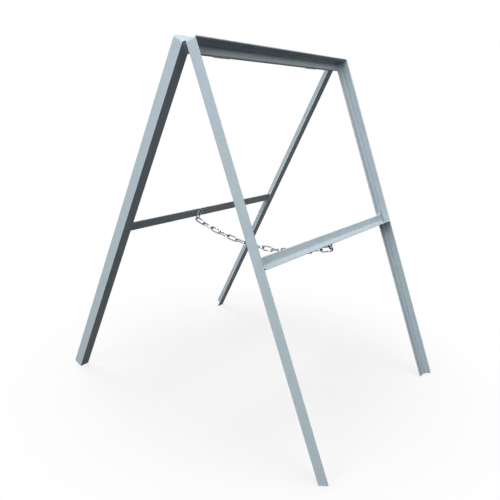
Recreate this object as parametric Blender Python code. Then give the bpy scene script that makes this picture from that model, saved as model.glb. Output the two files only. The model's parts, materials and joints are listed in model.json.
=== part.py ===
"""Folding sign stand: two welded frames of steel angle, hinged at the top and held by a chain."""
from math import atan, cos, pi, radians, sin

import bmesh
import bpy
from mathutils import Matrix, Vector

# Frame sizes, in metres. Distances called "from the top" run down along a leg.
LEG_LENGTH = 0.920
FRAME_WIDTH = 0.610
FLANGE_WIDTH = 0.025
STEEL_THICKNESS = 0.003
ROOT_RADIUS = 0.0035
TOE_RADIUS = 0.002
CORNER_RADIUS = 0.006
LEDGE_FROM_TOP = 0.460
LEAN_DEG = 24.4

# Hinge sizes.
HINGE_LENGTH = 0.050
HINGE_SPACING = 0.360
LEAF_HEIGHT = 0.020
LEAF_THICKNESS = 0.002
KNUCKLE_RADIUS = 0.004
KNUCKLE_COUNT = 5
PIN_RADIUS = 0.002
PIN_OVERHANG = 0.001
PIN_FROM_TOP = 0.001

# Chain sizes.
WIRE_DIAMETER = 0.0035
LINK_INNER_LENGTH = 0.029
LINK_INNER_WIDTH = 0.007
CHAIN_X = -0.043
CHAIN_LEAST_SLACK = 0.015
END_LINK_DROP = 0.009
STAPLE_DROP = 0.010
STAPLE_FROM_BACK = 0.0245
STAPLE_BEND_RADIUS = 0.004

# Clearances between neighbouring pieces.
FIT_GAP = 0.0003
PIN_CLEARANCE = 0.0003
KNUCKLE_GAP = 0.0004
TAB_INSET = 0.0002

# Facets on round shapes.
FILLET_STEPS = 3
CORNER_STEPS = 3
ROUND_SIDES = 20
LINK_END_STEPS = 8
WIRE_RESOLUTION = 2

LEAN = radians(LEAN_DEG)
PIN_FROM_BACK = KNUCKLE_RADIUS + FIT_GAP
PIN_HEIGHT = (LEG_LENGTH - PIN_FROM_TOP) * cos(LEAN) - PIN_FROM_BACK * sin(LEAN)
CROSSBAR_BACK = STEEL_THICKNESS + FIT_GAP
WIRE_RADIUS = WIRE_DIAMETER / 2
LINK_PITCH = LINK_INNER_LENGTH + WIRE_DIAMETER
LINK_WIDTH_CENTRES = LINK_INNER_WIDTH + WIRE_DIAMETER
LINK_HOOK = WIRE_DIAMETER + FIT_GAP
BISECT_TOLERANCE = 1e-7
WELD_DISTANCE = 1e-6

for old_object in list(bpy.data.objects):
    bpy.data.objects.remove(old_object, do_unlink=True)


def new_collection(name):
    """Make a collection in the scene."""
    collection = bpy.data.collections.new(name)
    bpy.context.scene.collection.children.link(collection)
    return collection


PARTS = new_collection("sign_stand")
CUTTERS = new_collection("sign_stand_cutters")


def new_material(name, colour, roughness, metallic):
    """Make a plain metal material."""
    material = bpy.data.materials.new(name)
    material.use_nodes = True
    shader = material.node_tree.nodes["Principled BSDF"]
    shader.inputs["Base Color"].default_value = (*colour, 1.0)
    shader.inputs["Roughness"].default_value = roughness
    shader.inputs["Metallic"].default_value = metallic
    return material


FRAME_STEEL = new_material("frame_steel", (0.43, 0.51, 0.56), 0.42, 0.0)
HINGE_STEEL = new_material("hinge_steel", (0.36, 0.38, 0.40), 0.40, 0.9)
CHAIN_ZINC = new_material("chain_zinc", (0.62, 0.63, 0.64), 0.30, 1.0)


def new_empty(name, location, rotation):
    """Make an empty that carries one rigid body."""
    empty = bpy.data.objects.new(name, None)
    empty.empty_display_size = FLANGE_WIDTH
    empty.location = location
    empty.rotation_euler = rotation
    PARTS.objects.link(empty)
    return empty


def add_part(name, mesh, material, parent, placement):
    """Add one piece under the body that carries it."""
    piece = bpy.data.objects.new(name, mesh)
    if not mesh.materials:
        mesh.materials.append(material)
    piece.parent = parent
    piece.matrix_local = placement
    PARTS.objects.link(piece)
    return piece


def add_cutter(name, mesh, parent, placement):
    """Add a shape that only serves a Boolean."""
    cutter = bpy.data.objects.new(name, mesh)
    cutter.parent = parent
    cutter.matrix_local = placement
    cutter.hide_render = True
    cutter.display_type = "WIRE"
    CUTTERS.objects.link(cutter)
    return cutter


def curve_to_mesh(curve, name):
    """Turn a curve into a welded mesh whose faces point out, and drop the curve."""
    holder = bpy.data.objects.new(name, curve)
    bpy.context.scene.collection.objects.link(holder)
    evaluated = holder.evaluated_get(bpy.context.evaluated_depsgraph_get())
    mesh = bpy.data.meshes.new_from_object(evaluated)
    mesh.name = name
    bpy.data.objects.remove(holder, do_unlink=True)
    bpy.data.curves.remove(curve)
    shape = bmesh.new()
    shape.from_mesh(mesh)
    bmesh.ops.remove_doubles(shape, verts=shape.verts, dist=WELD_DISTANCE)
    bmesh.ops.recalc_face_normals(shape, faces=shape.faces)
    shape.to_mesh(mesh)
    shape.free()
    return mesh


def flat_outline(name, points, thickness):
    """Extrude a closed outline in XY by half its thickness to each side."""
    curve = bpy.data.curves.new(name, "CURVE")
    curve.dimensions = "2D"
    curve.fill_mode = "BOTH"
    curve.extrude = thickness / 2
    spline = curve.splines.new("POLY")
    spline.points.add(len(points) - 1)
    for point, (x, y) in zip(spline.points, points):
        point.co = (x, y, 0.0, 1.0)
    spline.use_cyclic_u = True
    return curve_to_mesh(curve, name)


def wire(name, points, closed):
    """Run a round wire through points."""
    curve = bpy.data.curves.new(name, "CURVE")
    curve.dimensions = "3D"
    curve.bevel_depth = WIRE_RADIUS
    curve.bevel_resolution = WIRE_RESOLUTION
    curve.use_fill_caps = not closed
    spline = curve.splines.new("POLY")
    spline.points.add(len(points) - 1)
    for point, place in zip(spline.points, points):
        point.co = (*place, 1.0)
    spline.use_cyclic_u = closed
    mesh = curve_to_mesh(curve, name)
    mesh.shade_smooth()
    return mesh


def arc(centre_x, centre_y, radius, start_deg, end_deg, steps):
    """Points on an arc, both ends included."""
    points = []
    for step in range(steps + 1):
        angle = radians(start_deg + (end_deg - start_deg) * step / steps)
        points.append((centre_x + radius * cos(angle), centre_y + radius * sin(angle)))
    return points


def steel_angle(name, length, mirrored=False):
    """Rolled angle along Z: heel at the origin, flanges along X and Y, root and toes rounded."""
    toe = FLANGE_WIDTH - TOE_RADIUS
    flank = STEEL_THICKNESS - TOE_RADIUS
    root = STEEL_THICKNESS + ROOT_RADIUS
    section = [(0.0, 0.0), (FLANGE_WIDTH, 0.0)]
    section += arc(toe, flank, TOE_RADIUS, 0, 90, FILLET_STEPS)
    section += arc(root, root, ROOT_RADIUS, 270, 180, FILLET_STEPS)
    section += arc(flank, toe, TOE_RADIUS, 0, 90, FILLET_STEPS)
    section.append((0.0, FLANGE_WIDTH))
    if mirrored:
        section = [(-x, y) for x, y in section]
    return flat_outline(name, section, length)


def trim(mesh, point, outward):
    """Saw off what lies beyond a plane and close the cut."""
    shape = bmesh.new()
    shape.from_mesh(mesh)
    geometry = shape.verts[:] + shape.edges[:] + shape.faces[:]
    bmesh.ops.bisect_plane(
        shape, geom=geometry, dist=BISECT_TOLERANCE, plane_co=point, plane_no=outward, clear_outer=True
    )
    rim = [edge for edge in shape.edges if edge.is_boundary]
    bmesh.ops.holes_fill(shape, edges=rim, sides=0)
    bmesh.ops.recalc_face_normals(shape, faces=shape.faces)
    shape.to_mesh(mesh)
    shape.free()


def mitre_end(mesh, corner, across, along):
    """Mitre a bar at a frame corner and grind its share of the corner round.

    across points inwards over the bar's width and along runs from the corner down the bar.
    """
    trim(mesh, corner + along * (FIT_GAP / 2 ** 0.5), across - along)
    for step in range(CORNER_STEPS):
        angle = radians(45 * (step + 0.5) / CORNER_STEPS)
        outward = -across * cos(angle) - along * sin(angle)
        facet = corner + (across + along + outward) * CORNER_RADIUS
        trim(mesh, facet, outward)


def place(from_left, from_top, from_back):
    """A point of a frame, in the axes of the empty on the hinge pin.

    from_left is measured from the middle, from_top down the legs, from_back outwards from the
    inner plane of the legs.
    """
    return Vector((from_left, -from_back - PIN_FROM_BACK, PIN_FROM_TOP - from_top))


DOWN_LEG = Matrix(((1, 0, 0), (0, -1, 0), (0, 0, -1))).to_4x4()
ALONG_RAIL = Matrix(((0, 0, -1), (0, -1, 0), (-1, 0, 0))).to_4x4()
ALONG_CROSSBAR = Matrix(((0, 0, 1), (0, -1, 0), (1, 0, 0))).to_4x4()


def build_leg(name, side, frame):
    """One leg: square at the foot, mitred at the top, its side flange on the outside."""
    leg = steel_angle(name, LEG_LENGTH, mirrored=side > 0)
    corner = Vector((0.0, 0.0, -LEG_LENGTH / 2))
    mitre_end(leg, corner, Vector((-side, 0, 0)), Vector((0, 0, 1)))
    middle = place(side * FRAME_WIDTH / 2, LEG_LENGTH / 2, 0.0)
    add_part(name, leg, FRAME_STEEL, frame, Matrix.Translation(middle) @ DOWN_LEG)


def build_top_rail(name, frame):
    """The rail over both legs, mitred at each end, its side flange on top."""
    rail = steel_angle(name, FRAME_WIDTH)
    for end in (-1, 1):
        corner = Vector((0.0, 0.0, end * FRAME_WIDTH / 2))
        mitre_end(rail, corner, Vector((1, 0, 0)), Vector((0, 0, -end)))
    add_part(name, rail, FRAME_STEEL, frame, Matrix.Translation(place(0.0, 0.0, 0.0)) @ ALONG_RAIL)


def build_crossbar(name, frame):
    """The ledge bar, lapped on the outer side of the legs and cut short of their roots."""
    length = FRAME_WIDTH - 2 * (STEEL_THICKNESS + ROOT_RADIUS + FIT_GAP)
    bar = steel_angle(name, length)
    heel = place(0.0, LEDGE_FROM_TOP, CROSSBAR_BACK)
    add_part(name, bar, FRAME_STEEL, frame, Matrix.Translation(heel) @ ALONG_CROSSBAR)


def round_bar(name, length, radius):
    """A round bar along X with a flat facing each side."""
    shape = bmesh.new()
    bmesh.ops.create_cone(
        shape, cap_ends=True, segments=ROUND_SIDES, radius1=radius, radius2=radius, depth=length
    )
    turn = Matrix.Rotation(pi / 2, 4, "Y") @ Matrix.Rotation(pi / ROUND_SIDES, 4, "Z")
    bmesh.ops.transform(shape, matrix=turn, verts=shape.verts)
    mesh = bpy.data.meshes.new(name)
    shape.to_mesh(mesh)
    shape.free()
    mesh.shade_smooth()
    mesh.set_sharp_from_angle(angle=radians(40))
    return mesh


def knuckle_spans(first):
    """Start and end along X of every second knuckle, from the first one given."""
    width = HINGE_LENGTH / KNUCKLE_COUNT
    spans = []
    for index in range(first, KNUCKLE_COUNT, 2):
        start = -HINGE_LENGTH / 2 + index * width
        spans.append((start + KNUCKLE_GAP / 2, start + width - KNUCKLE_GAP / 2))
    return spans


def leaf_outline(spans):
    """A hinge leaf seen flat: a plate below, and a tab up to the pin at each knuckle."""
    shoulder = -(KNUCKLE_RADIUS + FIT_GAP)
    half = HINGE_LENGTH / 2
    outline = [(half, shoulder - LEAF_HEIGHT), (-half, shoulder - LEAF_HEIGHT), (-half, shoulder)]
    for start, end in spans:
        left = start + TAB_INSET
        right = end - TAB_INSET
        outline += [(left, shoulder), (left, 0.0), (right, 0.0), (right, shoulder)]
    outline.append((half, shoulder))
    return outline


def build_leaf(name, first, x, frame):
    """One hinge leaf, welded on the inner face of a top rail, with its knuckles round the pin."""
    spans = knuckle_spans(first)
    plate = flat_outline(name, leaf_outline(spans), LEAF_THICKNESS)
    seat = place(x, PIN_FROM_TOP, -FIT_GAP - LEAF_THICKNESS / 2)
    upright = Matrix.Rotation(pi / 2, 4, "X")
    leaf = add_part(name, plate, HINGE_STEEL, frame, Matrix.Translation(seat) @ upright)
    axis = Matrix.Translation((x, 0.0, 0.0))
    for index, (start, end) in enumerate(spans):
        knuckle_name = f"{name}_knuckle_{index + 1}"
        knuckle = round_bar(knuckle_name, end - start, KNUCKLE_RADIUS)
        middle = Matrix.Translation(((start + end) / 2, 0.0, 0.0))
        union = leaf.modifiers.new(knuckle_name, "BOOLEAN")
        union.operation = "UNION"
        union.object = add_cutter(knuckle_name, knuckle, frame, axis @ middle)
    bore_name = f"{name}_bore"
    bore = round_bar(bore_name, HINGE_LENGTH + LEAF_HEIGHT, PIN_RADIUS + PIN_CLEARANCE)
    cut = leaf.modifiers.new(bore_name, "BOOLEAN")
    cut.object = add_cutter(bore_name, bore, frame, axis)


def build_pin(name, x, frame):
    """The pin through one hinge's knuckles."""
    pin = round_bar(name, HINGE_LENGTH + 2 * PIN_OVERHANG, PIN_RADIUS)
    add_part(name, pin, HINGE_STEEL, frame, Matrix.Translation((x, 0.0, 0.0)))


def link_mesh(name, wide_axis, hook):
    """A chain link along Y. The origin lies hook inside its first end bar's centre."""
    bend = LINK_WIDTH_CENTRES / 2
    straight = LINK_PITCH - LINK_WIDTH_CENTRES
    outline = arc(0.0, bend, bend, 180, 360, LINK_END_STEPS)
    outline += arc(0.0, bend + straight, bend, 0, 180, LINK_END_STEPS)
    along = Vector((0, 1, 0))
    return wire(name, [wide_axis * side + along * (reach - hook) for side, reach in outline], True)


def build_staple(name, frame):
    """A bent wire loop under the front ledge, its bar across the chain's front end."""
    half = LINK_WIDTH_CENTRES / 2
    bend = STAPLE_BEND_RADIUS
    bar = -STAPLE_DROP
    outline = [(-half, -FIT_GAP)]
    outline += arc(-half + bend, bar + bend, bend, 180, 270, LINK_END_STEPS // 2)
    outline += arc(half - bend, bar + bend, bend, 270, 360, LINK_END_STEPS // 2)
    outline.append((half, -FIT_GAP))
    staple = wire(name, [Vector((x, 0.0, z)) for x, z in outline], False)
    under_ledge = place(CHAIN_X, LEDGE_FROM_TOP, STAPLE_FROM_BACK)
    add_part(name, staple, CHAIN_ZINC, frame, Matrix.Translation(under_ledge))


def build_end_link(name, mesh, frame):
    """The chain's last link, welded flat on the inner face of the rear crossbar."""
    lower_bar = place(-CHAIN_X, LEDGE_FROM_TOP + END_LINK_DROP, CROSSBAR_BACK - FIT_GAP - WIRE_RADIUS)
    add_part(name, mesh, CHAIN_ZINC, frame, Matrix.Translation(lower_bar) @ Matrix.Rotation(pi / 2, 4, "X"))
    return lower_bar


def bisect_root(function, low, high):
    """Root of a falling function between two bounds."""
    for _ in range(80):
        middle = (low + high) / 2
        if function(middle) > 0:
            low = middle
        else:
            high = middle
    return (low + high) / 2


def chain_lengths(count):
    """Pivot spacing of each link: links on edge hook inside their flat neighbours."""
    return [LINK_PITCH if index % 2 else LINK_PITCH - 2 * LINK_HOOK for index in range(count)]


def link_count(span):
    """The least odd number of links that leaves the chain its slack."""
    count = 3
    while sum(chain_lengths(count)) < span * (1 + CHAIN_LEAST_SLACK):
        count += 2
    return count


def straight_runs(count):
    """Links that lie in one line: pairs from each end, single links in the middle."""
    pairs = (count - 3) // 4
    rear = [(2 * pair, 2 * pair + 1) for pair in range(pairs)]
    middle = [(index,) for index in range(2 * pairs, count - 2 * pairs)]
    front = [(count - 2 * pair - 2, count - 2 * pair - 1) for pair in reversed(range(pairs))]
    return rear + middle + front


def hanging_slopes(runs, lengths, span, rise):
    """Slope of each run where the chain hangs under its own weight.

    The tangent of the slope grows evenly along a hanging chain, so its shape has two unknowns:
    the growth per link, set by the span, and the lowest place, set by the rise.
    """
    reach = [sum(lengths[index] for index in run) for run in runs]
    centre = [sum(run) / len(run) for run in runs]

    def slopes(growth, lowest):
        return [atan(growth * (place_along - lowest)) for place_along in centre]

    def lowest_place(growth):
        def spare_rise(lowest):
            return sum(r * sin(slope) for r, slope in zip(reach, slopes(growth, lowest))) - rise
        return bisect_root(spare_rise, -4 * len(lengths), 4 * len(lengths))

    def spare_span(growth):
        return sum(r * cos(slope) for r, slope in zip(reach, slopes(growth, lowest_place(growth)))) - span

    growth = bisect_root(spare_span, 0.001, 10.0)
    return slopes(growth, lowest_place(growth))


def build_chain(rear_end, front_end, flat_link, edge_link):
    """Free links from the rear end link to the front staple, each with its origin on its pivot."""
    span = rear_end.y - front_end.y
    count = link_count((rear_end - front_end).length)
    lengths = chain_lengths(count)
    runs = straight_runs(count)
    slope_of = {}
    for run, slope in zip(runs, hanging_slopes(runs, lengths, span, front_end.z - rear_end.z)):
        slope_of.update({index: slope for index in run})
    pivot = rear_end.copy()
    first_front_link = count // 2
    for index in range(count):
        slope = slope_of[index]
        far = pivot + Vector((0.0, -cos(slope), sin(slope))) * lengths[index]
        from_rear = index < first_front_link
        turn = pi - slope if from_rear else -slope
        mesh = flat_link if index % 2 else edge_link
        hang = Matrix.Translation(pivot if from_rear else far) @ Matrix.Rotation(turn, 4, "X")
        add_part(f"chain_link_{index + 1:02d}", mesh, CHAIN_ZINC, None, hang)
        pivot = far


front_frame = new_empty("front_frame", (0.0, 0.0, PIN_HEIGHT), (-LEAN, 0.0, 0.0))
rear_frame = new_empty("rear_frame", (0.0, 0.0, PIN_HEIGHT), (-LEAN, 0.0, pi))
bpy.context.view_layer.update()

for prefix, frame_empty, left_side in (("front", front_frame, -1), ("rear", rear_frame, 1)):
    build_leg(f"{prefix}_left_leg", left_side, frame_empty)
    build_leg(f"{prefix}_right_leg", -left_side, frame_empty)
    build_top_rail(f"{prefix}_top_rail", frame_empty)
    build_crossbar(f"{prefix}_crossbar", frame_empty)

for hand, hinge_x in (("left", -HINGE_SPACING / 2), ("right", HINGE_SPACING / 2)):
    build_leaf(f"{hand}_hinge_front_leaf", 0, hinge_x, front_frame)
    build_leaf(f"{hand}_hinge_rear_leaf", 1, -hinge_x, rear_frame)
    build_pin(f"{hand}_hinge_pin", hinge_x, front_frame)

flat_link_mesh = link_mesh("flat_link", Vector((1, 0, 0)), 0.0)
edge_link_mesh = link_mesh("edge_link", Vector((0, 0, 1)), LINK_HOOK)
build_staple("front_chain_staple", front_frame)
end_bar = build_end_link("rear_chain_end_link", flat_link_mesh, rear_frame)
staple_bar = place(CHAIN_X, LEDGE_FROM_TOP + STAPLE_DROP, STAPLE_FROM_BACK)
chain_rear = rear_frame.matrix_world @ end_bar
chain_front = front_frame.matrix_world @ staple_bar
build_chain(chain_rear, chain_front, flat_link_mesh, edge_link_mesh)
bpy.context.view_layer.update()
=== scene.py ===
import json
from math import cos, pi, radians, sin

import bmesh
import bpy
from mathutils import Matrix, Vector


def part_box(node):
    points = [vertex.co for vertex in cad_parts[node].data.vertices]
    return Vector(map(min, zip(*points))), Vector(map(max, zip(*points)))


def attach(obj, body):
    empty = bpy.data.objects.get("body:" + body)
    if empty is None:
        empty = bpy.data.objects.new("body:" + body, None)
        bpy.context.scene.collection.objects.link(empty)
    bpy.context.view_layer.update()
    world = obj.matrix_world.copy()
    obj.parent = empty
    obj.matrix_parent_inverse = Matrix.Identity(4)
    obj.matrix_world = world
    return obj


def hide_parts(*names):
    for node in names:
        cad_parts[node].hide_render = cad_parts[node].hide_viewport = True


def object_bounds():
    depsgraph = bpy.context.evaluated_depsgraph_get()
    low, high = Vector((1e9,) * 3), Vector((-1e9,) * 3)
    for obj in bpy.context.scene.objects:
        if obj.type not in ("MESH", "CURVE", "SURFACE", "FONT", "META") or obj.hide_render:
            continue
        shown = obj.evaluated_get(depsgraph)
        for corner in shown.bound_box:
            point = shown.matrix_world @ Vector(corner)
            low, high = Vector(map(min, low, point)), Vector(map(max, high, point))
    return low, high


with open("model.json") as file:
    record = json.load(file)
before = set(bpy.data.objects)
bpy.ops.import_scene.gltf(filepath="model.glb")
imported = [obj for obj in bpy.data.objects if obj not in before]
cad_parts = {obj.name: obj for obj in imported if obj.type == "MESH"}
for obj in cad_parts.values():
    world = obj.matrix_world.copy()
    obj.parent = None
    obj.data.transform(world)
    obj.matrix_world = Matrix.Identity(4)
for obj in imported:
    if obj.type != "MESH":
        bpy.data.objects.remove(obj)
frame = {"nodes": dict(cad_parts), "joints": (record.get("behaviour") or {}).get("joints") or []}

cad_low, cad_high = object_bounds()

# Viewpoint: the stand is seen from its front left, from the height of its top rails, on a slightly
# rolled camera whose frame sits a little to the left of and above the lens axis.
camera_data = bpy.data.cameras.new("photo_camera")
camera_data.sensor_width = 36.0
camera_data.lens = 39.23
camera_data.shift_x = -0.0706
camera_data.shift_y = 0.0654
photo_camera = bpy.data.objects.new("photo_camera", camera_data)
bpy.context.scene.collection.objects.link(photo_camera)
aim = Matrix.Rotation(radians(-57.68), 4, "Z") @ Matrix.Rotation(radians(90 - 20.12), 4, "X")
photo_camera.matrix_world = (
    Matrix.Translation((-1.1320, -0.7896, 0.7762)) @ aim @ Matrix.Rotation(radians(4.25), 4, "Z")
)
bpy.context.scene.camera = photo_camera
bpy.context.scene.view_settings.view_transform = "Standard"


# Floor: a plain pale studio floor under the feet, on which the stand keeps its soft shadow.
# The camera sees it nearly white and shiny metal sees it dimmer, while it throws little light back up.
FLOOR_HALF_WIDTH = 12.0
FLOOR_IN_METAL = 0.25
SHADOW_FADES_FROM = 0.20
SHADOW_FADES_TO = 0.80
SHADOW_WHITENESS = 0.62


def shader_node(tree, kind, values=(), **settings):
    """Add a node, set its properties, and fill or link its inputs."""
    node = tree.nodes.new(kind)
    for key, value in settings.items():
        setattr(node, key, value)
    for key, value in dict(values).items():
        if isinstance(value, bpy.types.NodeSocket):
            tree.links.new(value, node.inputs[key])
        else:
            node.inputs[key].default_value = value
    return node


def reckon(tree, operation, *values, clamp=False):
    """One Math node, and its result."""
    return shader_node(
        tree, "ShaderNodeMath", enumerate(values), operation=operation, use_clamp=clamp
    ).outputs[0]


def mix_colour(tree, share, first, second, blend="MIX"):
    """One colour Mix node, and its result."""
    return shader_node(
        tree, "ShaderNodeMix", {0: share, 6: first, 7: second}, data_type="RGBA", blend_type=blend
    ).outputs[2]


def blank_material(name):
    """A material with an empty node tree and its output node."""
    material = bpy.data.materials.new(name)
    material.use_nodes = True
    material.node_tree.nodes.clear()
    return material, material.node_tree, material.node_tree.nodes.new("ShaderNodeOutputMaterial")


floor_shape = bmesh.new()
bmesh.ops.create_grid(floor_shape, x_segments=1, y_segments=1, size=FLOOR_HALF_WIDTH)
floor_mesh = bpy.data.meshes.new("studio_floor")
floor_shape.to_mesh(floor_mesh)
floor_shape.free()
studio_floor = bpy.data.objects.new("studio_floor", floor_mesh)
bpy.context.scene.collection.objects.link(studio_floor)
floor_finish, floor_tree, floor_output = blank_material("pale_floor")
floor_path = shader_node(floor_tree, "ShaderNodeLightPath").outputs
floor_mirrored = reckon(floor_tree, "MULTIPLY", floor_path["Is Glossy Ray"], FLOOR_IN_METAL)
floor_seen = reckon(floor_tree, "MAXIMUM", floor_path["Is Camera Ray"], floor_mirrored)
floor_seen = reckon(floor_tree, "MAXIMUM", floor_seen, floor_path["Is Transmission Ray"])
floor_tint = mix_colour(floor_tree, floor_seen, (0.03, 0.03, 0.03, 1.0), (0.62, 0.62, 0.62, 1.0))
floor_matt = shader_node(floor_tree, "ShaderNodeBsdfDiffuse", {"Color": floor_tint}).outputs[0]
floor_white = shader_node(
    floor_tree, "ShaderNodeEmission", {"Color": (1.0, 1.0, 1.0, 1.0), "Strength": 1.0}
).outputs[0]
floor_place = shader_node(floor_tree, "ShaderNodeTexCoord").outputs["Object"]
floor_reach = shader_node(
    floor_tree, "ShaderNodeVectorMath", {0: floor_place}, operation="LENGTH"
).outputs["Value"]
floor_fade = shader_node(
    floor_tree, "ShaderNodeMapRange",
    {0: floor_reach, 1: SHADOW_FADES_FROM, 2: SHADOW_FADES_TO, 3: SHADOW_WHITENESS, 4: 1.0},
    interpolation_type="SMOOTHSTEP",
).outputs[0]
floor_share = reckon(floor_tree, "MULTIPLY", floor_fade, floor_seen)
floor_mix = shader_node(floor_tree, "ShaderNodeMixShader", {0: floor_share, 1: floor_matt, 2: floor_white})
floor_tree.links.new(floor_mix.outputs[0], floor_output.inputs["Surface"])
floor_mesh.materials.append(floor_finish)

# Light: soft panels to the left of the stand and overhead, and weaker ones in front, to the right
# and behind. The last two don't show in shiny metal. The white room only shows, to the camera and,
# dimmer on the camera's side, in shiny metal, and adds no light of its own.
FAR_SIDE = (0.84, 0.54, 0.0)
DIMMEST_ROOM = 0.08
PANEL_SIZE = 2.4
PANEL_TARGET = (0.0, 0.0, 0.4)
room = bpy.data.worlds.new("white_room")
bpy.context.scene.world = room
room.use_nodes = True
room_tree = room.node_tree
room_tree.nodes.clear()
room_output = room_tree.nodes.new("ShaderNodeOutputWorld")
room_direction = shader_node(room_tree, "ShaderNodeTexCoord").outputs["Generated"]
room_depth = shader_node(
    room_tree, "ShaderNodeVectorMath", {0: room_direction, 1: FAR_SIDE}, operation="DOT_PRODUCT"
).outputs["Value"]
room_level = shader_node(
    room_tree, "ShaderNodeMapRange", {0: room_depth, 1: -0.5, 2: 0.5, 3: DIMMEST_ROOM, 4: 1.0}
).outputs[0]
room_path = shader_node(room_tree, "ShaderNodeLightPath").outputs
room_mirrored = reckon(room_tree, "MULTIPLY", room_path["Is Glossy Ray"], room_level)
room_seen = reckon(room_tree, "MAXIMUM", room_path["Is Camera Ray"], room_path["Is Transmission Ray"])
room_seen = reckon(room_tree, "MAXIMUM", room_seen, room_mirrored)
room_light = shader_node(
    room_tree, "ShaderNodeBackground", {"Color": (1.0, 1.0, 1.0, 1.0), "Strength": room_seen}
)
room_tree.links.new(room_light.outputs[0], room_output.inputs["Surface"])


def soft_panel(name, place, watts, mirrored):
    """A square studio panel that faces the stand, and may show in shiny metal."""
    panel = bpy.data.lights.new(name, "AREA")
    panel.shape = "SQUARE"
    panel.size = PANEL_SIZE
    panel.energy = watts
    lamp = bpy.data.objects.new(name, panel)
    lamp.visible_glossy = mirrored
    facing = (Vector(place) - Vector(PANEL_TARGET)).to_track_quat("Z", "Y").to_matrix().to_4x4()
    lamp.matrix_world = Matrix.Translation(place) @ facing
    bpy.context.scene.collection.objects.link(lamp)


for panel_name, panel_place, panel_watts, panel_mirrored in (
    ("left_panel", (-3.88, 0.00, 2.00), 160, True),
    ("overhead_panel", (0.00, 0.00, 4.60), 130, True),
    ("front_panel", (-0.21, -2.52, 3.76), 38, True),
    ("right_panel", (3.90, -0.60, 1.80), 50, False),
    ("rear_panel", (0.00, 3.90, 2.00), 80, False),
):
    soft_panel(panel_name, panel_place, panel_watts, panel_mirrored)

# Legs: four lengths of hot-rolled 25 x 25 x 3 mm steel angle with rounded toes and a filleted root,
# square at the foot and mitred at the top. After welding the frames are painted a satin blue-grey.
FLANGE = 0.025
THICKNESS = 0.003
ROOT_RADIUS = 0.0035
TOE_RADIUS = 0.002
CORNER_RADIUS = 0.006
LEG_LENGTH = 0.920
SEAM = 0.0003
EASED_EDGE = 0.0004
ROUNDING_STEPS = 6
RUBBED_EDGE = 0.0022
BAND_FROM_FILLET = 0.0008
PAINTED_HIGHLIGHT_WIDTH = 0.0034
PAINTED_SHADE_WIDTH = 0.0032
BAND_LIFT = 0.0016
PIN_FROM_BACK = 0.0043
PIN_FROM_TOP = 0.001
FRAME_WIDTH = cad_high.x - cad_low.x
fold = next(joint for joint in frame["joints"] if joint["name"] == "fold")
hinge_line = Matrix.Translation(fold["pos_m"])
lean = Matrix.Rotation(-radians(fold["range_deg"][1] / 2), 4, "X")
FRAME_AXES = {"front": hinge_line @ lean, "rear": hinge_line @ Matrix.Rotation(pi, 4, "Z") @ lean}


def place(from_middle, from_top, from_back):
    """A point of a frame: across, down the legs from the top, and out from the legs' inner plane."""
    return Vector((from_middle, -from_back - PIN_FROM_BACK, PIN_FROM_TOP - from_top))


def group_tree(name, inputs, outputs):
    """A shader node group with named sockets, and its inner ends."""
    tree = bpy.data.node_groups.new(name, "ShaderNodeTree")
    for socket, kind, value in inputs:
        made = tree.interface.new_socket(socket, in_out="INPUT", socket_type=kind)
        if value is not None:
            made.default_value = value
    for socket, kind in outputs:
        tree.interface.new_socket(socket, in_out="OUTPUT", socket_type=kind)
    return tree, tree.nodes.new("NodeGroupInput").outputs, tree.nodes.new("NodeGroupOutput").inputs


def use_group(tree, group, **values):
    """Place a node group in a material, and return its outputs."""
    return shader_node(tree, "ShaderNodeGroup", values, node_tree=group).outputs


def tint(tree, tone, mask, strength, colour):
    """Mix a colour into a tone where a mask is, up to a strength."""
    return mix_colour(tree, reckon(tree, "MULTIPLY", mask, strength), tone, colour)


clouding, given, result = group_tree(
    "coat_clouding",
    [
        ("Vector", "NodeSocketVector", None),
        ("Patch", "NodeSocketFloat", 40.0),
        ("Grain", "NodeSocketFloat", 900.0),
    ],
    [("Cloud", "NodeSocketFloat"), ("Spangle", "NodeSocketFloat"), ("Grit", "NodeSocketFloat")],
)
cloud = shader_node(
    clouding, "ShaderNodeTexNoise",
    {"Vector": given["Vector"], "Scale": given["Patch"], "Detail": 4.0, "Roughness": 0.6},
)
spangle_scale = reckon(clouding, "MULTIPLY", given["Patch"], 5.0)
spangle = shader_node(
    clouding, "ShaderNodeTexVoronoi", {"Vector": given["Vector"], "Scale": spangle_scale, "Randomness": 1.0}
)
spangle_tone = shader_node(clouding, "ShaderNodeSeparateColor", {0: spangle.outputs["Color"]}).outputs[0]
grit = shader_node(
    clouding, "ShaderNodeTexNoise",
    {"Vector": given["Vector"], "Scale": given["Grain"], "Detail": 3.0, "Roughness": 0.65},
)
clouding.links.new(cloud.outputs[0], result["Cloud"])
clouding.links.new(spangle_tone, result["Spangle"])
clouding.links.new(grit.outputs[0], result["Grit"])

streaking, given, result = group_tree(
    "rolling_streaks",
    [
        ("Vector", "NodeSocketVector", None),
        ("Fineness", "NodeSocketFloat", 700.0),
        ("Length", "NodeSocketFloat", 0.02),
    ],
    [("Streak", "NodeSocketFloat"), ("Scratch", "NodeSocketFloat")],
)
drawn_out = shader_node(
    streaking, "ShaderNodeCombineXYZ", {0: 1.0, 1: 1.0, 2: given["Length"]}
).outputs[0]
stretched = shader_node(
    streaking, "ShaderNodeVectorMath", {0: given["Vector"], 1: drawn_out}, operation="MULTIPLY"
).outputs[0]
streak = shader_node(
    streaking, "ShaderNodeTexNoise",
    {"Vector": stretched, "Scale": given["Fineness"], "Detail": 3.0, "Roughness": 0.55},
)
scratch_scale = reckon(streaking, "MULTIPLY", given["Fineness"], 2.3)
scratch_noise = shader_node(
    streaking, "ShaderNodeTexNoise",
    {"Vector": stretched, "Scale": scratch_scale, "Detail": 2.0, "Distortion": 0.4},
)
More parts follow.
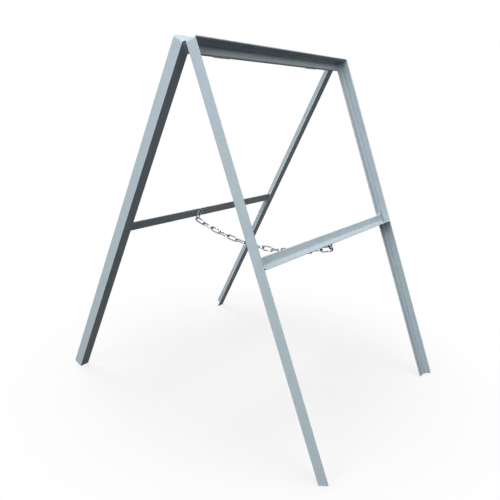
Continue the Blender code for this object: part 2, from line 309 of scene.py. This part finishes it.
scratch = shader_node(
    streaking, "ShaderNodeMapRange", {0: scratch_noise.outputs[0], 1: 0.66, 2: 0.74, 3: 0.0, 4: 1.0}
)
streaking.links.new(streak.outputs[0], result["Streak"])
streaking.links.new(scratch.outputs[0], result["Scratch"])

# Rubbed edges are wear. Along the inside of each root fillet this group also gives a painted highlight band
# and, beside it, a painted dark line of shade.
edge_rub_and_painted_root_light, given, result = group_tree(
    "edge_rub_and_painted_root_light",
    [("Section", "NodeSocketVector", None), ("Break", "NodeSocketFloat", 0.5)],
    [("Edge", "NodeSocketFloat"), ("Root", "NodeSocketFloat"), ("PaintedRootShade", "NodeSocketFloat")],
)
across = shader_node(edge_rub_and_painted_root_light, "ShaderNodeSeparateXYZ", {0: given["Section"]}).outputs
far_side = reckon(edge_rub_and_painted_root_light, "MAXIMUM", across[0], across[1])
near_side = reckon(edge_rub_and_painted_root_light, "MINIMUM", across[0], across[1])
toe_distance = reckon(edge_rub_and_painted_root_light, "SUBTRACT", FLANGE, far_side)
edge_distance = reckon(edge_rub_and_painted_root_light, "MINIMUM", toe_distance, far_side)
rub_reach = reckon(edge_rub_and_painted_root_light, "MULTIPLY", given["Break"], RUBBED_EDGE)
edge_mask = shader_node(
    edge_rub_and_painted_root_light, "ShaderNodeMapRange", {0: edge_distance, 1: 0.0002, 2: rub_reach, 3: 1.0, 4: 0.0}
)
on_inner_side = reckon(edge_rub_and_painted_root_light, "GREATER_THAN", near_side, THICKNESS * 0.6)
band_middle = THICKNESS + ROOT_RADIUS + BAND_FROM_FILLET
for mask_name, along_flange, off_flange, mask_reach in (
    ("Root", across[0], across[1], PAINTED_HIGHLIGHT_WIDTH),
    ("PaintedRootShade", across[1], across[0], PAINTED_SHADE_WIDTH),
):
    off_middle = reckon(edge_rub_and_painted_root_light, "ABSOLUTE", reckon(edge_rub_and_painted_root_light, "SUBTRACT", along_flange, band_middle))
    band = reckon(edge_rub_and_painted_root_light, "SUBTRACT", 1.0, reckon(edge_rub_and_painted_root_light, "DIVIDE", off_middle, mask_reach), clamp=True)
    near_flange = reckon(edge_rub_and_painted_root_light, "LESS_THAN", off_flange, THICKNESS + BAND_LIFT)
    band = reckon(edge_rub_and_painted_root_light, "MULTIPLY", reckon(edge_rub_and_painted_root_light, "MULTIPLY", band, near_flange), on_inner_side)
    edge_rub_and_painted_root_light.links.new(band, result[mask_name])
edge_rub_and_painted_root_light.links.new(edge_mask.outputs[0], result["Edge"])

coat, coat_tree, coat_output = blank_material("satin_grey_paint")
rolled = shader_node(coat_tree, "ShaderNodeAttribute", attribute_name="rolled").outputs["Vector"]
coat_cloud = use_group(coat_tree, clouding, Vector=rolled, Patch=34.0, Grain=1500.0)
coat_streak = use_group(coat_tree, streaking, Vector=rolled, Fineness=620.0, Length=0.012)
coat_rub_and_root_light = use_group(coat_tree, edge_rub_and_painted_root_light, Section=rolled, Break=coat_cloud["Grit"])
coat_tone = mix_colour(
    coat_tree, coat_cloud["Cloud"], (0.375, 0.465, 0.522, 1.0), (0.462, 0.555, 0.614, 1.0)
)
coat_tone = tint(coat_tree, coat_tone, coat_cloud["Spangle"], 0.16, (0.60, 0.66, 0.69, 1.0))
coat_tone = tint(coat_tree, coat_tone, coat_streak["Streak"], 0.22, (0.36, 0.42, 0.46, 1.0))
# Painted highlight: a lighter band along the inside of each root fillet. The same band also makes the root
# glossier, further down.
coat_tone = tint(coat_tree, coat_tone, coat_rub_and_root_light["Root"], 0.75, (0.72, 0.79, 0.83, 1.0))
# Painted shade: a dark line beside that band, in the corner of the root.
coat_tone = tint(coat_tree, coat_tone, coat_rub_and_root_light["PaintedRootShade"], 0.60, (0.20, 0.23, 0.25, 1.0))
coat_tone = tint(coat_tree, coat_tone, coat_rub_and_root_light["Edge"], 0.28, (0.62, 0.69, 0.73, 1.0))
coat_tone = tint(coat_tree, coat_tone, coat_streak["Scratch"], 0.12, (0.68, 0.72, 0.75, 1.0))
coat_rough = shader_node(
    coat_tree, "ShaderNodeMapRange", {0: coat_cloud["Grit"], 1: 0.25, 2: 0.75, 3: 0.30, 4: 0.44}
).outputs[0]
coat_shine = reckon(coat_tree, "MULTIPLY", coat_rub_and_root_light["Root"], 0.12)
coat_rough = reckon(coat_tree, "SUBTRACT", coat_rough, coat_shine)
coat_grit = reckon(coat_tree, "MULTIPLY", coat_cloud["Grit"], 0.5)
coat_lines = reckon(coat_tree, "MULTIPLY", coat_streak["Streak"], 0.3)
coat_height = reckon(coat_tree, "ADD", coat_grit, coat_lines)
coat_bump = shader_node(
    coat_tree, "ShaderNodeBump", {"Height": coat_height, "Strength": 0.06, "Distance": 0.0004}
).outputs[0]
coat_shader = shader_node(
    coat_tree, "ShaderNodeBsdfPrincipled",
    {
        "Base Color": coat_tone, "Metallic": 0.0, "Roughness": coat_rough,
        "Specular IOR Level": 0.5, "Normal": coat_bump,
    },
)
coat_tree.links.new(coat_shader.outputs[0], coat_output.inputs["Surface"])


def rolled_angle(length):
    """Rolled angle along Z about its middle: heel at the origin, flanges along X and Y."""
    shape = bmesh.new()
    outline = (
        (0, 0), (FLANGE, 0), (FLANGE, THICKNESS), (THICKNESS, THICKNESS), (THICKNESS, FLANGE), (0, FLANGE)
    )
    corners = [shape.verts.new((x, y, -length / 2)) for x, y in outline]
    shape.faces.new(corners)
    for corner, radius in ((3, ROOT_RADIUS), (2, TOE_RADIUS), (4, TOE_RADIUS)):
        bmesh.ops.bevel(
            shape, geom=[corners[corner]], offset=radius, offset_type="OFFSET", affect="VERTICES",
            segments=ROUNDING_STEPS, profile=0.5, material=-1,
        )
    drawn = bmesh.ops.extrude_face_region(shape, geom=shape.faces[:])["geom"]
    moved = [item for item in drawn if isinstance(item, bmesh.types.BMVert)]
    bmesh.ops.translate(shape, verts=moved, vec=(0.0, 0.0, length))
    bmesh.ops.recalc_face_normals(shape, faces=shape.faces)
    return shape


def saw(shape, point, outward):
    """Cut off what lies beyond a plane, and close the cut."""
    everything = shape.verts[:] + shape.edges[:] + shape.faces[:]
    bmesh.ops.bisect_plane(
        shape, geom=everything, dist=1e-7, plane_co=point, plane_no=outward, clear_outer=True
    )
    bmesh.ops.holes_fill(shape, edges=[edge for edge in shape.edges if edge.is_boundary], sides=0)


def mitre(shape, corner, across_bar, along_bar):
    """Mitre a bar at a frame corner, and grind its share of the corner round."""
    saw(shape, corner + along_bar * (SEAM / 2 ** 0.5), across_bar - along_bar)
    for step in range(ROUNDING_STEPS):
        angle = radians(45 * (step + 0.5) / ROUNDING_STEPS)
        outward = -across_bar * cos(angle) - along_bar * sin(angle)
        saw(shape, corner + (across_bar + along_bar + outward) * CORNER_RADIUS, outward)
    bmesh.ops.recalc_face_normals(shape, faces=shape.faces)


def mark_rolling(shape, shift, turned=False):
    """Keep each point's place in the bar for the finish, with the flanges swapped in a turned bar."""
    layer = shape.verts.layers.float_vector.new("rolled")
    for vert in shape.verts:
        vert[layer] = (vert.co.yxz if turned else vert.co) + Vector((0.0, 0.0, shift))


def hand_over(name, shape, finish, body, nodes=()):
    """Make a shape a piece with its finish, riding on its body."""
    mesh = bpy.data.meshes.new(name)
    shape.to_mesh(mesh)
    shape.free()
    mesh.materials.append(finish)
    mesh.shade_smooth()
    piece = bpy.data.objects.new(name, mesh)
    bpy.context.scene.collection.objects.link(piece)
    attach(piece, body)
    if nodes:
        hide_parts(*nodes)
    return piece


def ease_edges(piece, width):
    """Break a piece's sharp edges, and keep its flat faces flat in the light."""
    bevel = piece.modifiers.new("eased_edges", "BEVEL")
    bevel.width = width
    bevel.segments = 3
    bevel.limit_method = "ANGLE"
    bevel.angle_limit = radians(40)
    flats = piece.modifiers.new("flat_faces", "WEIGHTED_NORMAL")
    flats.weight = 90


down_leg = Matrix(((1, 0, 0), (0, -1, 0), (0, 0, -1))).to_4x4()
for order, (side, hand, outer) in enumerate(
    (("front", "left", -1), ("front", "right", 1), ("rear", "left", 1), ("rear", "right", -1))
):
    leg = rolled_angle(LEG_LENGTH)
    mitre(leg, Vector((0.0, 0.0, -LEG_LENGTH / 2)), Vector((1, 0, 0)), Vector((0, 0, 1)))
    mark_rolling(leg, 3.1 * order)
    if outer > 0:
        bmesh.ops.scale(leg, vec=(-1.0, 1.0, 1.0), verts=leg.verts)
        bmesh.ops.recalc_face_normals(leg, faces=leg.faces)
    middle = Matrix.Translation(place(outer * FRAME_WIDTH / 2, LEG_LENGTH / 2, 0.0))
    bmesh.ops.transform(leg, matrix=FRAME_AXES[side] @ middle @ down_leg, verts=leg.verts)
    piece = hand_over(
        f"{side}_{hand}_leg_steel", leg, coat, f"{side}_frame", [f"{side}_{hand}_leg"]
    )
    ease_edges(piece, EASED_EDGE)

# Top rails: the same angle across the top of each frame, mitred into both legs with its upper
# flange turned outwards, so that legs and rail make one shallow tray.
along_rail = Matrix(((0, 0, -1), (0, -1, 0), (-1, 0, 0))).to_4x4()
for order, side in enumerate(("front", "rear")):
    rail = rolled_angle(FRAME_WIDTH)
    for end in (-1, 1):
        mitre(rail, Vector((0.0, 0.0, end * FRAME_WIDTH / 2)), Vector((1, 0, 0)), Vector((0, 0, -end)))
    mark_rolling(rail, 13.7 + 2.3 * order, turned=True)
    middle = Matrix.Translation(place(0.0, 0.0, 0.0))
    bmesh.ops.transform(rail, matrix=FRAME_AXES[side] @ middle @ along_rail, verts=rail.verts)
    piece = hand_over(
        f"{side}_top_rail_steel", rail, coat, f"{side}_frame", [f"{side}_top_rail"]
    )
    ease_edges(piece, EASED_EDGE)

# Crossbars: the same angle lapped on the outer side of the legs and cut just short of their side
# flanges. The flange that stands out is the ledge that a sign plate rests on.
LEDGE_FROM_TOP = 0.460
CROSSBAR_BACK = THICKNESS + SEAM
CROSSBAR_LENGTH = FRAME_WIDTH - 2 * (THICKNESS + ROOT_RADIUS + SEAM)
along_crossbar = Matrix(((0, 0, 1), (0, -1, 0), (1, 0, 0))).to_4x4()
for order, side in enumerate(("front", "rear")):
    crossbar = rolled_angle(CROSSBAR_LENGTH)
    mark_rolling(crossbar, 19.4 + 2.9 * order)
    heel = Matrix.Translation(place(0.0, LEDGE_FROM_TOP, CROSSBAR_BACK))
    bmesh.ops.transform(crossbar, matrix=FRAME_AXES[side] @ heel @ along_crossbar, verts=crossbar.verts)
    piece = hand_over(
        f"{side}_crossbar_steel", crossbar, coat, f"{side}_frame", [f"{side}_crossbar"]
    )
    ease_edges(piece, EASED_EDGE)

# Lap welds: each crossbar is fixed by short fillet runs, one along its upper edge and one under its
# ledge, where it crosses a leg's flange. Each upper run ends in a lump at the leg.
WELD_WIDTH = 0.0056
UPPER_WELD_HEIGHT = 0.0025
LOWER_WELD_HEIGHT = 0.0019
LUMP_LENGTH = 0.0080
LUMP_WIDTH = 0.0062
LUMP_HEIGHT = 0.0028
RIPPLE_PITCH = 0.0016
RINGS_PER_RIPPLE = 4
weld_coat, weld_tree, weld_output = blank_material("coated_weld_metal")
weld_place = shader_node(weld_tree, "ShaderNodeTexCoord").outputs["Object"]
weld_cloud = use_group(weld_tree, clouding, Vector=weld_place, Patch=180.0, Grain=2600.0)
# The weld paint is lighter than the frame's paint: a painted highlight on the beads.
weld_tone = mix_colour(
    weld_tree, weld_cloud["Cloud"], (0.46, 0.54, 0.59, 1.0), (0.64, 0.71, 0.75, 1.0)
)
weld_tone = tint(weld_tree, weld_tone, weld_cloud["Spangle"], 0.25, (0.33, 0.38, 0.41, 1.0))
weld_rough = shader_node(
    weld_tree, "ShaderNodeMapRange", {0: weld_cloud["Grit"], 1: 0.25, 2: 0.75, 3: 0.34, 4: 0.52}
).outputs[0]
weld_bump = shader_node(
    weld_tree, "ShaderNodeBump", {"Height": weld_cloud["Grit"], "Strength": 0.35, "Distance": 0.0004}
).outputs[0]
weld_shader = shader_node(
    weld_tree, "ShaderNodeBsdfPrincipled",
    {"Base Color": weld_tone, "Metallic": 0.0, "Roughness": weld_rough, "Normal": weld_bump},
)
weld_tree.links.new(weld_shader.outputs[0], weld_output.inputs["Surface"])


def weld_run(shape, start, end, width, height, facing, turn=0.0):
    """Add a rippled run of weld metal from start to end, standing up towards facing."""
    length = (end - start).length
    stations = max(3, round(length / RIPPLE_PITCH)) * RINGS_PER_RIPPLE
    made = bmesh.ops.create_circle(shape, cap_ends=False, segments=12, radius=0.5)["verts"]
    ring = list({edge for vert in made for edge in vert.link_edges})
    run = list(made)
    size = 1.0
    for station in range(stations + 1):
        share = station / stations
        ripple, ring_in_ripple = divmod(station, RINGS_PER_RIPPLE)
        phase = ring_in_ripple / RINGS_PER_RIPPLE
        taper = min(1.0, 0.10 + 6.0 * share, 0.10 + 5.0 * (1.0 - share)) ** 0.5
        wobble = 1.0 + 0.07 * sin(2.7 * ripple + turn) + 0.04 * sin(7.1 * ripple + 2 * turn)
        wanted = taper * wobble * (0.90 + 0.10 * (1.0 - phase) ** 0.5)
        if station:
            drawn = bmesh.ops.extrude_edge_only(shape, edges=ring)["geom"]
            made = [item for item in drawn if isinstance(item, bmesh.types.BMVert)]
            ring = [item for item in drawn if isinstance(item, bmesh.types.BMEdge)]
            run += made
            bmesh.ops.translate(shape, verts=made, vec=(0.0, 0.0, 1.0 / stations))
        bmesh.ops.scale(shape, vec=(wanted / size, wanted / size, 1.0), verts=made)
        size = wanted
    own = set(run)
    rim = [edge for edge in shape.edges if edge.is_boundary and edge.verts[0] in own]
    bmesh.ops.holes_fill(shape, edges=rim, sides=0)
    along_run = (end - start).normalized()
    sideways = facing.cross(along_run).normalized()
    upright = along_run.cross(sideways)
    axes = Matrix((sideways, upright, along_run)).transposed().to_4x4()
    grow = Matrix.Diagonal((width, 2 * height, length, 1.0))
    bmesh.ops.transform(shape, matrix=Matrix.Translation(start) @ axes @ grow, verts=run)
    bmesh.ops.recalc_face_normals(shape, faces=list({face for vert in run for face in vert.link_faces}))


for side in ("front", "rear"):
    for hand, outer in (("left", -1), ("right", 1)):
        welds = bmesh.new()
        inner_end = outer * (FRAME_WIDTH / 2 - FLANGE + 0.002)
        outer_end = outer * (FRAME_WIDTH / 2 - THICKNESS - ROOT_RADIUS - 0.0015)
        upper = LEDGE_FROM_TOP - FLANGE - 0.0003
        weld_run(
            welds, place(inner_end, upper, THICKNESS + 0.0004), place(outer_end, upper, THICKNESS + 0.0004),
            WELD_WIDTH, UPPER_WELD_HEIGHT, Vector((0.0, -0.75, 0.66)), 1.7 * outer,
        )
        lump_start = outer_end - outer * LUMP_LENGTH
        weld_run(
            welds,
            place(lump_start, upper - 0.0030, THICKNESS), place(outer_end, upper - 0.0034, THICKNESS),
            LUMP_WIDTH, LUMP_HEIGHT, Vector((0.0, -1.0, 0.2)), 2.4 * outer,
        )
        lower = LEDGE_FROM_TOP + 0.0002
        weld_run(
            welds, place(inner_end, lower, THICKNESS + 0.0002), place(outer_end, lower, THICKNESS + 0.0002),
            WELD_WIDTH, LOWER_WELD_HEIGHT, Vector((0.0, -0.7, -0.7)), 0.6 * outer,
        )
        bmesh.ops.transform(welds, matrix=FRAME_AXES[side], verts=welds.verts)
        hand_over(f"{side}_{hand}_lap_welds", welds, weld_coat, f"{side}_frame")

# Corner welds: the mitres are closed by a run along the inner face of the frame, a short run in the
# corner of the tray, and a tack where the seam meets the opening. The outer corner is ground round.
def on_seam(outer, inset, from_back):
    """A point on a corner's mitre line, by its distance in from the frame's outer edges."""
    return place(outer * (FRAME_WIDTH / 2 - inset), inset, from_back)


for side in ("front", "rear"):
    for hand, outer in (("left", -1), ("right", 1)):
        welds = bmesh.new()
        weld_run(
            welds, on_seam(outer, 0.004, 0.0002), on_seam(outer, 0.0235, 0.0002),
            0.0046, 0.0009, Vector((0.0, 1.0, 0.0)), 0.9 * outer,
        )
        weld_run(
            welds, on_seam(outer, 0.0195, THICKNESS), on_seam(outer, 0.0248, THICKNESS),
            0.0040, 0.0010, Vector((0.0, -1.0, 0.0)), 2.2 * outer,
        )
        weld_run(
            welds, on_seam(outer, 0.0044, 0.0052), on_seam(outer, 0.0034, 0.0225),
            0.0034, 0.0015, Vector((-outer, 0.0, -1.0)), 1.1 * outer,
        )
        bmesh.ops.transform(welds, matrix=FRAME_AXES[side], verts=welds.verts)
        hand_over(f"{side}_{hand}_corner_welds", welds, weld_coat, f"{side}_frame")

# Hinges: two plain butt hinges of pressed steel between the top rails, each with two leaves, five
# knuckles and a pin. They are hidden behind the front rail, and their leaves are welded to the rails.
HINGE_SPACING = 0.360
HINGE_LENGTH = 0.050
PIN_RADIUS = 0.002
PIN_END_ROUNDING = 0.0008
LEAF_EASED_EDGE = 0.0003
LEAF_WELD_FROM = 0.0075
LEAF_WELD_TO = 0.0200
hinge_finish, hinge_tree, hinge_output = blank_material("plain_hinge_steel")
hinge_place = shader_node(hinge_tree, "ShaderNodeTexCoord").outputs["Object"]
hinge_cloud = use_group(hinge_tree, clouding, Vector=hinge_place, Patch=90.0, Grain=2200.0)
hinge_turned = shader_node(
    hinge_tree, "ShaderNodeMapping", {"Vector": hinge_place, "Rotation": (0.0, pi / 2, 0.0)}
).outputs[0]
hinge_streak = use_group(hinge_tree, streaking, Vector=hinge_turned, Fineness=900.0, Length=0.03)
hinge_tone = mix_colour(
    hinge_tree, hinge_cloud["Cloud"], (0.34, 0.36, 0.38, 1.0), (0.46, 0.48, 0.50, 1.0)
)
hinge_tone = tint(hinge_tree, hinge_tone, hinge_streak["Streak"], 0.35, (0.24, 0.25, 0.26, 1.0))
hinge_rough = shader_node(
    hinge_tree, "ShaderNodeMapRange", {0: hinge_cloud["Grit"], 1: 0.25, 2: 0.75, 3: 0.30, 4: 0.48}
).outputs[0]
hinge_bump = shader_node(
    hinge_tree, "ShaderNodeBump", {"Height": hinge_streak["Streak"], "Strength": 0.2, "Distance": 0.0003}
).outputs[0]
hinge_shader = shader_node(
    hinge_tree, "ShaderNodeBsdfPrincipled",
    {"Base Color": hinge_tone, "Metallic": 0.85, "Roughness": hinge_rough, "Normal": hinge_bump},
)
hinge_tree.links.new(hinge_shader.outputs[0], hinge_output.inputs["Surface"])
for hand, hinge_x in (("left", -HINGE_SPACING / 2), ("right", HINGE_SPACING / 2)):
    for side in ("front", "rear"):
        node = f"{hand}_hinge_{side}_leaf"
        leaf = bmesh.new()
        leaf.from_mesh(frame["nodes"][node].data)
        bmesh.ops.remove_doubles(leaf, verts=leaf.verts, dist=1e-6)
        bmesh.ops.dissolve_limit(leaf, angle_limit=radians(1), verts=leaf.verts, edges=leaf.edges)
        piece = hand_over(f"{node}_steel", leaf, hinge_finish, f"{side}_frame", [node])
        ease_edges(piece, LEAF_EASED_EDGE)
        welds = bmesh.new()
        facing = hinge_x if side == "front" else -hinge_x
        for end in (-1, 1):
            edge_x = facing + end * (HINGE_LENGTH / 2 + 0.0004)
            weld_run(
                welds, place(edge_x, LEAF_WELD_FROM, -SEAM), place(edge_x, LEAF_WELD_TO, -SEAM),
                0.0034, 0.0013, Vector((end * 0.4, 0.9, 0.0)), 1.3 * end,
            )
        bmesh.ops.transform(welds, matrix=FRAME_AXES[side], verts=welds.verts)
        hand_over(f"{hand}_hinge_{side}_welds", welds, weld_coat, f"{side}_frame")
    pin = bmesh.new()
    node = f"{hand}_hinge_pin"
    pin_low, pin_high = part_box(node)
    bmesh.ops.create_cone(
        pin, cap_ends=True, segments=32, radius1=PIN_RADIUS, radius2=PIN_RADIUS, depth=pin_high.x - pin_low.x
    )
    rims = [edge for edge in pin.edges if abs(edge.verts[0].co.z - edge.verts[1].co.z) < 1e-6]
    bmesh.ops.bevel(
        pin, geom=rims, offset=PIN_END_ROUNDING, affect="EDGES", segments=4, profile=0.5, material=-1
    )
    along_pin = Matrix.Translation((hinge_x, 0.0, 0.0)) @ Matrix.Rotation(pi / 2, 4, "Y")
    bmesh.ops.transform(pin, matrix=hinge_line @ along_pin, verts=pin.verts)
    piece = hand_over(f"{node}_steel", pin, hinge_finish, "front_frame", [node])
    piece.modifiers.new("flat_faces", "WEIGHTED_NORMAL")

# Chain staple: a loop of the chain's own wire, bent to a flat-bottomed U and butt-welded under the
# front ledge; its near-black colour is painted shade under the ledge. The chain's front link hangs on its
# bar.
WIRE_RADIUS = 0.00175
LINK_PITCH = 0.0325
LINK_WIDTH = 0.0105
CHAIN_X = -0.043
STAPLE_DROP = 0.010
STAPLE_FROM_BACK = 0.0245
STAPLE_BEND = 0.004
STAPLE_BEND_STEPS = 8
zinc, zinc_tree, zinc_output = blank_material("bright_zinc_wire")
zinc_place = shader_node(zinc_tree, "ShaderNodeTexCoord").outputs["Object"]
zinc_cloud = use_group(zinc_tree, clouding, Vector=zinc_place, Patch=160.0, Grain=2400.0)
zinc_tone = mix_colour(
    zinc_tree, zinc_cloud["Cloud"], (0.56, 0.57, 0.59, 1.0), (0.80, 0.81, 0.82, 1.0)
)
zinc_tone = tint(zinc_tree, zinc_tone, zinc_cloud["Spangle"], 0.25, (0.50, 0.52, 0.55, 1.0))
# Painted shade: the link ends, where the links pass through each other, are darkened nearly to black.
zinc_end_shade = shader_node(zinc_tree, "ShaderNodeAttribute", attribute_name="painted_end_shade").outputs["Fac"]
zinc_tone = tint(zinc_tree, zinc_tone, zinc_end_shade, 0.85, (0.07, 0.07, 0.08, 1.0))
zinc_rough = shader_node(
    zinc_tree, "ShaderNodeMapRange", {0: zinc_cloud["Grit"], 1: 0.25, 2: 0.75, 3: 0.14, 4: 0.28}
).outputs[0]
zinc_bump = shader_node(
    zinc_tree, "ShaderNodeBump", {"Height": zinc_cloud["Grit"], "Strength": 0.2, "Distance": 0.0002}
).outputs[0]
zinc_shader = shader_node(
    zinc_tree, "ShaderNodeBsdfPrincipled",
    {"Base Color": zinc_tone, "Metallic": 1.0, "Roughness": zinc_rough, "Normal": zinc_bump},
)
zinc_tree.links.new(zinc_shader.outputs[0], zinc_output.inputs["Surface"])


def start_wire(shape, middle, heading):
    """Begin a wire: a ring round a point, across its heading. Returns the ring's edges."""
    made = bmesh.ops.create_circle(shape, cap_ends=False, segments=16, radius=WIRE_RADIUS)["verts"]
    turn = Vector((0, 0, 1)).rotation_difference(heading).to_matrix().to_4x4()
    bmesh.ops.transform(shape, matrix=Matrix.Translation(middle) @ turn, verts=made)
    return list({edge for vert in made for edge in vert.link_edges})


def draw_wire(shape, ring, step, swell=1.0):
    """Draw the wire straight on by a step, swelling it by a factor."""
    drawn = bmesh.ops.extrude_edge_only(shape, edges=ring)["geom"]
    made = [item for item in drawn if isinstance(item, bmesh.types.BMVert)]
    bmesh.ops.translate(shape, verts=made, vec=step)
    middle = sum((vert.co for vert in made), Vector()) / len(made)
    bmesh.ops.scale(shape, vec=(swell, swell, swell), verts=made, space=Matrix.Translation(-middle))
    return [item for item in drawn if isinstance(item, bmesh.types.BMEdge)]


def bend_wire(shape, ring, centre, axis, angle, steps):
    """Bend the wire on round a centre."""
    drawn = bmesh.ops.spin(
        shape, geom=ring, cent=centre, axis=axis, angle=angle, steps=steps, use_merge=False
    )
    return [item for item in drawn["geom_last"] if isinstance(item, bmesh.types.BMEdge)]


def close_wire(shape):
    """Join a wire's meeting ends, close any open ones, and turn its faces outwards."""
    bmesh.ops.remove_doubles(shape, verts=shape.verts, dist=1e-6)
    bmesh.ops.holes_fill(shape, edges=[edge for edge in shape.edges if edge.is_boundary], sides=0)
    bmesh.ops.recalc_face_normals(shape, faces=shape.faces)


staple = bmesh.new()
half = LINK_WIDTH / 2
straight = Vector((0.0, 0.0, -(STAPLE_DROP - STAPLE_BEND)))
ring = start_wire(staple, Vector((-half, 0.0, 0.0)), Vector((0, 0, -1)))
ring = draw_wire(staple, ring, straight)
ring = bend_wire(staple, ring, (-half + STAPLE_BEND, 0.0, straight.z), (0, 1, 0), -pi / 2, STAPLE_BEND_STEPS)
ring = draw_wire(staple, ring, Vector((LINK_WIDTH - 2 * STAPLE_BEND, 0.0, 0.0)))
ring = bend_wire(staple, ring, (half - STAPLE_BEND, 0.0, straight.z), (0, 1, 0), -pi / 2, STAPLE_BEND_STEPS)
ring = draw_wire(staple, ring, -straight)
close_wire(staple)
under_ledge = FRAME_AXES["front"] @ Matrix.Translation(place(CHAIN_X, LEDGE_FROM_TOP, STAPLE_FROM_BACK))
bmesh.ops.transform(staple, matrix=under_ledge, verts=staple.verts)
# Painted shade: the staple's wire and its welds are coloured near-black for the shadow under the ledge.
staple_shade, staple_shade_tree, staple_shade_output = blank_material("staple_wire_painted_shade")
staple_shade_place = shader_node(staple_shade_tree, "ShaderNodeTexCoord").outputs["Object"]
staple_shade_cloud = use_group(staple_shade_tree, clouding, Vector=staple_shade_place, Patch=220.0, Grain=2600.0)
staple_shade_tone = mix_colour(
    staple_shade_tree, staple_shade_cloud["Cloud"], (0.035, 0.036, 0.040, 1.0), (0.120, 0.115, 0.110, 1.0)
)
staple_shade_tone = tint(staple_shade_tree, staple_shade_tone, staple_shade_cloud["Spangle"], 0.2, (0.22, 0.20, 0.18, 1.0))
staple_shade_rough = shader_node(
    staple_shade_tree, "ShaderNodeMapRange", {0: staple_shade_cloud["Grit"], 1: 0.25, 2: 0.75, 3: 0.40, 4: 0.62}
).outputs[0]
staple_shade_bump = shader_node(
    staple_shade_tree, "ShaderNodeBump", {"Height": staple_shade_cloud["Grit"], "Strength": 0.4, "Distance": 0.0002}
).outputs[0]
staple_shade_shader = shader_node(
    staple_shade_tree, "ShaderNodeBsdfPrincipled",
    {"Base Color": staple_shade_tone, "Metallic": 0.6, "Roughness": staple_shade_rough, "Normal": staple_shade_bump},
)
staple_shade_tree.links.new(staple_shade_shader.outputs[0], staple_shade_output.inputs["Surface"])
hand_over("front_chain_staple_wire", staple, staple_shade, "front_frame", ["front_chain_staple"])
staple_welds = bmesh.new()
for foot in (-1, 1):
    beside = Vector((foot * (half + 0.0012), 0.0, -0.0004))
    weld_run(
        staple_welds, beside + Vector((0.0, -0.0024, 0.0)), beside + Vector((0.0, 0.0020, 0.0)),
        0.0040, 0.0020, Vector((foot * 0.5, 0.0, -1.0)), 0.8 * foot,
    )
bmesh.ops.transform(staple_welds, matrix=under_ledge, verts=staple_welds.verts)
hand_over("front_chain_staple_welds", staple_welds, staple_shade, "front_frame")

# Chain: long links of 3.5 mm zinc-plated wire, each bent to an oval and butt-welded on one side,
# where the wire is slightly upset. They hang edge and flat in turn, and their ends carry painted shade.
END_LINK_DROP = 0.009
LINK_BEND_STEPS = 14
WELDED_SIDE = (
    (0.40, 1.0), (0.05, 1.08), (0.03, 1.05), (0.04, 1.0), (0.03, 0.95), (0.05, 0.926), (0.40, 1.0)
)
END_SHADE_FROM = 0.70
END_SHADE_FADE = 0.18


def chain_link():
    """A link along Y in the XY plane, its first end bar centred on the origin."""
    link = bmesh.new()
    bend = LINK_WIDTH / 2
    side_length = LINK_PITCH - LINK_WIDTH
    wire_ring = start_wire(link, Vector((bend, bend, 0.0)), Vector((0, 1, 0)))
    for share, swell in WELDED_SIDE:
        wire_ring = draw_wire(link, wire_ring, Vector((0.0, side_length * share, 0.0)), swell)
    wire_ring = bend_wire(link, wire_ring, (0.0, bend + side_length, 0.0), (0, 0, 1), pi, LINK_BEND_STEPS)
    wire_ring = draw_wire(link, wire_ring, Vector((0.0, -side_length, 0.0)))
    bend_wire(link, wire_ring, (0.0, bend, 0.0), (0, 0, 1), pi, LINK_BEND_STEPS)
    close_wire(link)
    # Mask for the painted shade: it rises from 0 to 1 towards each end of the link.
    layer = link.verts.layers.float.new("painted_end_shade")
    for vert in link.verts:
        towards_end = abs(vert.co.y - LINK_PITCH / 2) / (LINK_PITCH / 2 + WIRE_RADIUS)
        vert[layer] = min(1.0, max(0.0, (towards_end - END_SHADE_FROM) / END_SHADE_FADE))
    return link


end_link = chain_link()
on_crossbar = place(-CHAIN_X, LEDGE_FROM_TOP + END_LINK_DROP, CROSSBAR_BACK - SEAM - WIRE_RADIUS)
on_crossbar = FRAME_AXES["rear"] @ Matrix.Translation(on_crossbar) @ Matrix.Rotation(pi / 2, 4, "X")
bmesh.ops.transform(end_link, matrix=on_crossbar, verts=end_link.verts)
hand_over("rear_chain_end_link_wire", end_link, zinc, "rear_frame", ["rear_chain_end_link"])
end_welds = bmesh.new()
for flank in (-1, 1):
    flank_x = -CHAIN_X + flank * (LINK_WIDTH / 2 + WIRE_RADIUS * 0.9)
    weld_run(
        end_welds, place(flank_x, LEDGE_FROM_TOP - 0.0170, CROSSBAR_BACK - 0.0004),
        place(flank_x, LEDGE_FROM_TOP - 0.0060, CROSSBAR_BACK - 0.0004),
        0.0036, 0.0016, Vector((flank * 0.6, 1.0, 0.0)), 1.9 * flank,
    )
bmesh.ops.transform(end_welds, matrix=FRAME_AXES["rear"], verts=end_welds.verts)
hand_over("rear_chain_end_link_welds", end_welds, weld_coat, "rear_frame")
for joint in frame["joints"]:
    node = joint["child"]
    if not node.startswith("chain_link_"):
        continue
    low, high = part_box(node)
    middle = (low + high) / 2
    heading = -Vector(joint["axis"]) if joint["type"] == "slide" else middle - Vector(joint["pos_m"])
    heading = Vector((0.0, heading.y, heading.z)).normalized()
    link = chain_link()
    lies_flat = int(node[-2:]) % 2 == 0
    spin_on_edge = Matrix.Rotation(0.0 if lies_flat else pi / 2, 4, "Y")
    axes = Matrix((Vector((1, 0, 0)), heading, Vector((1, 0, 0)).cross(heading))).transposed().to_4x4()
    centred = Matrix.Translation((0.0, -LINK_PITCH / 2, 0.0))
    in_chain = Matrix.Translation(middle) @ axes @ spin_on_edge @ centred
    bmesh.ops.transform(link, matrix=in_chain, verts=link.verts)
    hand_over(f"{node}_wire", link, zinc, node, [node])
